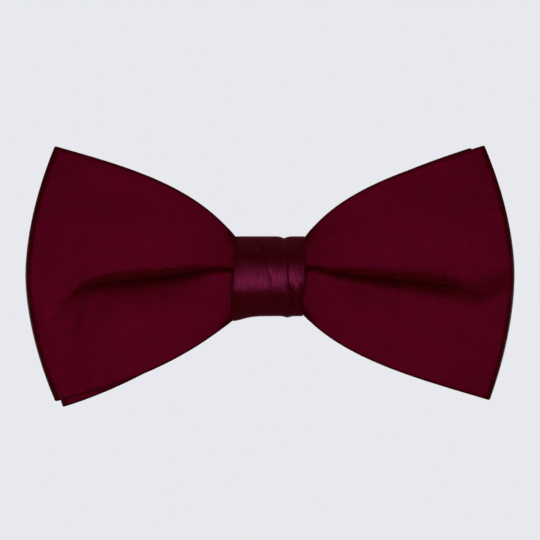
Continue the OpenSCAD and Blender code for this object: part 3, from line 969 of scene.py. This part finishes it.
def build_knot(lining, thread):
    """The knot band with its interlining and the stitches that close it."""
    cloth = satin(
        "knot_satin", dark=(0.0205, 0.0002, 0.0004, 1), light=(0.030, 0.0004, 0.0009, 1),
        shine=(1.0, 0.08, 0.34, 1), streak=2.0, speckle=0.4, roughness=0.36, specular=0.40,
        anisotropic=0.50, turn=0.25, nap=0.05)
    cover, inside = make_knot()
    finish_cloth(cover, cloth, "knot_band")
    finish_cloth(inside, lining, "knot_interlining")
    finish_cloth(make_seam_stitches(), thread, "knot_stitches")


def build_clips():
    """The bar and both clips, each with a torsion spring wound between its jaws."""
    plate = plated_steel("clip_plate", (0.60, 0.585, 0.56, 1), 0.30, (500, 4200, 4200))
    rivet = plated_steel("rivet_steel", (0.50, 0.49, 0.475, 1), 0.32, (2500, 2500, 2500))
    wire = plated_steel("spring_wire", (0.42, 0.41, 0.40, 1), 0.34, (2500, 2500, 2500))
    dress_node("clip_bar", plate, 0.12)
    for name, side in (("left", -1), ("right", 1)):
        dress_node(name + "_fixed_jaw", plate, 0.1)
        dress_node(name + "_moving_jaw", plate, 0.1)
        dress_node(name + "_clip_rivet", rivet, 0.12)
        dress_node(name + "_hinge_pin", rivet, 0.1)
        hinge = sum(node_box(name + "_hinge_pin")) / 2
        spring_low = node_box(name + "_jaw_spring")[0]
        spring = make_spring(name + "_spring_wire", side, spring_low[1] + SPRING_WIRE_R, hinge)
        finish_piece(spring, wire, name + "_jaw_spring")
        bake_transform(spring)


def build_bow_tie():
    """Every piece of the tie."""
    lining = canvas("interlining_canvas")
    thread = spun_thread("burgundy_thread", (0.030, 0.001, 0.004, 1), (0.085, 0.004, 0.014, 1))
    build_bows(lining, thread)
    build_knot(lining, thread)
    build_clips()


# ---- camera and light

CAMERA_LENS = 160
CAMERA_SENSOR = 36

# Width of the view in a plane through the front bow, that plane's depth and the view's middle height
VIEW_W = 133.06
VIEW_Y = -9.2
VIEW_Z = 1.23

FLOOR_HALF_W = 6000
FLOOR_Z = -800


def area_light(name, place, size, power, in_gloss=True, only=None):
    """Softbox turned to the tie; in_gloss says whether glossy surfaces mirror it.

    With only, a collection, it lights nothing but that collection's objects."""
    data = bpy.data.lights.new(name, "AREA")
    data.shape = "RECTANGLE"
    data.size, data.size_y = size
    data.energy = power
    light = bpy.data.objects.new(name, data)
    bpy.context.scene.collection.objects.link(light)
    light.location = place
    light.rotation_euler = (-Vector(place)).to_track_quat("-Z", "Y").to_euler()
    light.visible_glossy = in_gloss
    if only:
        light.light_linking.receiver_collection = only


def steel_parts():
    """Collection of the clips' pieces, for the lights that are theirs alone."""
    collection = bpy.data.collections.new("steel_parts")
    for side in ("left_", "right_"):
        for part in ("clip_rivet", "fixed_jaw", "moving_jaw", "hinge_pin"):
            collection.objects.link(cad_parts[side + part])
        collection.objects.link(bpy.data.objects[side + "spring_wire"])
    collection.objects.link(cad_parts["clip_bar"])
    return collection


def make_camera():
    """Straight in front, with the whole tie across nine tenths of the picture."""
    data = bpy.data.cameras.new("camera")
    data.lens = CAMERA_LENS
    data.sensor_width = CAMERA_SENSOR
    data.clip_start = 0.01
    camera = bpy.data.objects.new("camera", data)
    bpy.context.scene.collection.objects.link(camera)
    distance = VIEW_W * MM * CAMERA_LENS / CAMERA_SENSOR
    camera.location = (0, VIEW_Y * MM - distance, VIEW_Z * MM)
    camera.rotation_euler = (math.radians(90), 0, 0)
    bpy.context.scene.camera = camera


def make_world():
    """Pale backdrop for the camera, and a dim room for the tie."""
    world = bpy.data.worlds.new("studio")
    bpy.context.scene.world = world
    world.use_nodes = True
    nodes, links = world.node_tree.nodes, world.node_tree.links
    room = nodes["Background"]
    room.inputs["Color"].default_value = (0.9, 0.93, 1.0, 1)
    room.inputs["Strength"].default_value = 0.02
    backdrop = nodes.new("ShaderNodeBackground")
    backdrop.inputs["Color"].default_value = (0.807, 0.815, 0.855, 1)
    path = nodes.new("ShaderNodeLightPath")
    mix = nodes.new("ShaderNodeMixShader")
    links.new(path.outputs["Is Camera Ray"], mix.inputs[0])
    links.new(room.outputs[0], mix.inputs[1])
    links.new(backdrop.outputs[0], mix.inputs[2])
    links.new(mix.outputs[0], nodes["World Output"].inputs["Surface"])


def make_floor():
    """Wide pale floor far below the tie, which neither lights it nor shows in its gloss."""
    corners = [(-1, -1), (1, -1), (1, 1), (-1, 1)]
    floor = build_mesh("floor", [(x * FLOOR_HALF_W, y * FLOOR_HALF_W, FLOOR_Z) for x, y in corners],
                       [(0, 1, 2, 3)])
    pale_floor().give(floor)
    floor.visible_glossy = False
    floor.visible_diffuse = False


def make_lights():
    """Softboxes before, above, below and behind the tie, and two for the steel parts alone.

    Places and sizes are metres, powers watts."""
    area_light("front_soft", (0, -0.95, -0.03), (1.1, 0.34), 8.7)
    area_light("top_soft", (0, 0.05, 0.9), (2.0, 1.1), 13, in_gloss=False)
    area_light("low_soft", (0, -0.1, -0.6), (1.2, 0.4), 3, in_gloss=False)
    area_light("back_soft", (0, 1.1, -0.08), (1.8, 0.4), 2.7)
    area_light("back_fill", (0, 1.0, 0.4), (1.4, 0.8), 15, in_gloss=False)
    for name, x in (("back_left", -1.0), ("back_right", 1.0)):
        area_light(name, (x, 0.8, -0.08), (1.0, 0.4), 1.5)
    steel = steel_parts()
    area_light("steel_low", (0, 0.75, -0.65), (1.8, 0.7), 4, only=steel)
    area_light("steel_top", (0, 0.45, 0.85), (1.8, 0.6), 3, only=steel)


build_bow_tie()
make_floor()
make_camera()
make_world()
make_lights()
bpy.context.scene.view_settings.view_transform = "Standard"
